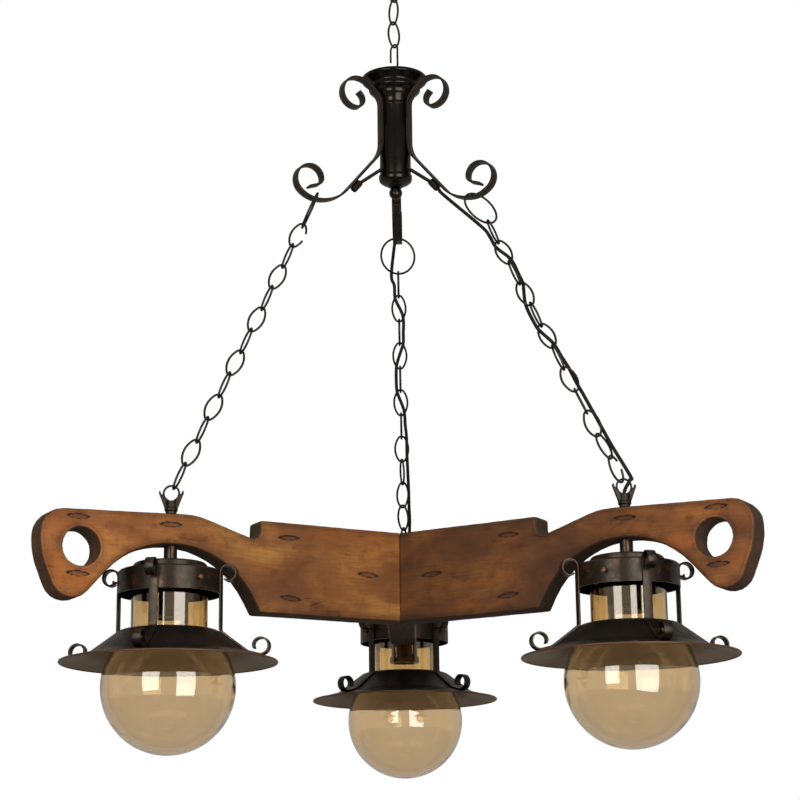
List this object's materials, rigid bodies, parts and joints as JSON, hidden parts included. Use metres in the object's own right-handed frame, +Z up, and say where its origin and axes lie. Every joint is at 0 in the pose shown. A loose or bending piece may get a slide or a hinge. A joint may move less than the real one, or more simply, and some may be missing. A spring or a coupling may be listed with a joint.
{
  "type": "three-light yoke chandelier",
  "caption": "Chandelier of wooden boards mitred into a yoke, hung on chains from an iron scroll hub, with a caged glass globe lantern under each arm.",
  "frame": {"origin": "centre of the ceiling plate's back face, on the ceiling", "axes": "+Z up; arms point to the rear (+Y), front left (210 degrees from +X) and front right (330 degrees)"},
  "size_m": [0.8248, 0.7447, 1.0494],
  "materials": {
    "forged_iron": "black wax over hammered iron, rubbed brown on edges",
    "chain_iron": "black, rubbed brown where links bear",
    "shade_iron": "satin black sheet with brown rubbing",
    "bronze_fittings": "dark bronze, satin",
    "walnut": "warm brown stain, darker along the edges, satin wax",
    "dowel_wood": "plain pale wood",
    "amber_glass": "clear amber glass with seeds",
    "cord_cover": "black woven cover",
    "lampholder": "matt black"
  },
  "bodies": {
    "ceiling": {"ceiling_plate": "forged_iron"},
    "link_upper": {"top_link_upper": "chain_iron"},
    "link_middle": {"top_link_middle": "chain_iron"},
    "link_lower": {"top_link_lower": "chain_iron"},
    "globe_left": {"globe_left": "amber_glass"},
    "screw_left_1": {"screw_left_1": "bronze_fittings"},
    "screw_left_2": {"screw_left_2": "bronze_fittings"},
    "screw_left_3": {"screw_left_3": "bronze_fittings"},
    "globe_right": {"globe_right": "amber_glass"},
    "screw_right_1": {"screw_right_1": "bronze_fittings"},
    "screw_right_2": {"screw_right_2": "bronze_fittings"},
    "screw_right_3": {"screw_right_3": "bronze_fittings"},
    "globe_rear": {"globe_rear": "amber_glass"},
    "screw_rear_1": {"screw_rear_1": "bronze_fittings"},
    "screw_rear_2": {"screw_rear_2": "bronze_fittings"},
    "screw_rear_3": {"screw_rear_3": "bronze_fittings"},
    "chandelier": {"hub_hook": "chain_iron", "hub_bell": "forged_iron", "hub_tube": "forged_iron", "hub_cup": "forged_iron", "hub_ball": "forged_iron", "hub_rod": "bronze_fittings", "scroll_left": "forged_iron", "scroll_right": "forged_iron", "scroll_rear": "forged_iron", "conduit_left": "bronze_fittings", "conduit_right": "bronze_fittings", "conduit_rear": "bronze_fittings", "gland_left": "bronze_fittings", "gland_right": "bronze_fittings", "gland_rear": "bronze_fittings", "chain_left": "chain_iron", "chain_right": "chain_iron", "chain_rear": "chain_iron", "cord_right": "cord_cover", "cord_rear": "cord_cover", "eye_left": "forged_iron", "eye_right": "forged_iron", "eye_rear": "forged_iron", "stem_left": "bronze_fittings", "stem_right": "bronze_fittings", "stem_rear": "bronze_fittings", "stem_sleeves": "bronze_fittings", "stem_nuts": "bronze_fittings", "arm_left": "walnut", "arm_right": "walnut", "arm_rear": "walnut", "yoke_dowels": "dowel_wood", "gallery_left": "forged_iron", "gallery_right": "forged_iron", "gallery_rear": "forged_iron", "cage_left": "forged_iron", "cage_right": "forged_iron", "cage_rear": "forged_iron", "shade_left": "shade_iron", "shade_right": "shade_iron", "shade_rear": "shade_iron", "socket_left": "lampholder", "socket_right": "lampholder", "socket_rear": "lampholder"}
  },
  "joints": [
    {"name": "swing_upper", "type": "hinge", "parent": "ceiling", "child": "link_upper", "pos_m": [0, 0, -0.0262], "axis": [0.6428, -0.766, 0], "range_deg": [-15, 15]},
    {"name": "swing_middle", "type": "hinge", "parent": "link_upper", "child": "link_middle", "pos_m": [0, 0, -0.0582], "axis": [0.766, 0.6428, 0], "range_deg": [-15, 15]},
    {"name": "swing_lower", "type": "hinge", "parent": "link_middle", "child": "link_lower", "pos_m": [0, 0, -0.0906], "axis": [0.6428, -0.766, 0], "range_deg": [-15, 15]},
    {"name": "swing_hook", "type": "hinge", "parent": "link_lower", "child": "chandelier", "pos_m": [0, 0, -0.123], "axis": [0.766, 0.6428, 0], "range_deg": [-15, 15]},
    {"name": "globe_left_out", "type": "slide", "parent": "chandelier", "child": "globe_left", "axis": [0, 0, -1], "range_m": [0, 0.08]},
    {"name": "screw_left_1_out", "type": "slide", "parent": "chandelier", "child": "screw_left_1", "axis": [-0.9848, -0.1736, 0], "range_m": [0, 0.006]},
    {"name": "screw_left_2_out", "type": "slide", "parent": "chandelier", "child": "screw_left_2", "axis": [0.6428, -0.766, 0], "range_m": [0, 0.006]},
    {"name": "screw_left_3_out", "type": "slide", "parent": "chandelier", "child": "screw_left_3", "axis": [0.342, 0.9397, 0], "range_m": [0, 0.006]},
    {"name": "globe_right_out", "type": "slide", "parent": "chandelier", "child": "globe_right", "axis": [0, 0, -1], "range_m": [0, 0.08]},
    {"name": "screw_right_1_out", "type": "slide", "parent": "chandelier", "child": "screw_right_1", "axis": [1, 0, 0], "range_m": [0, 0.006]},
    {"name": "screw_right_2_out", "type": "slide", "parent": "chandelier", "child": "screw_right_2", "axis": [-0.5, 0.866, 0], "range_m": [0, 0.006]},
    {"name": "screw_right_3_out", "type": "slide", "parent": "chandelier", "child": "screw_right_3", "axis": [-0.5, -0.866, 0], "range_m": [0, 0.006]},
    {"name": "globe_rear_out", "type": "slide", "parent": "chandelier", "child": "globe_rear", "axis": [0, 0, -1], "range_m": [0, 0.08]},
    {"name": "screw_rear_1_out", "type": "slide", "parent": "chandelier", "child": "screw_rear_1", "axis": [0, 1, 0], "range_m": [0, 0.006]},
    {"name": "screw_rear_2_out", "type": "slide", "parent": "chandelier", "child": "screw_rear_2", "axis": [-0.866, -0.5, 0], "range_m": [0, 0.006]},
    {"name": "screw_rear_3_out", "type": "slide", "parent": "chandelier", "child": "screw_rear_3", "axis": [0.866, -0.5, 0], "range_m": [0, 0.006]}
  ]
}
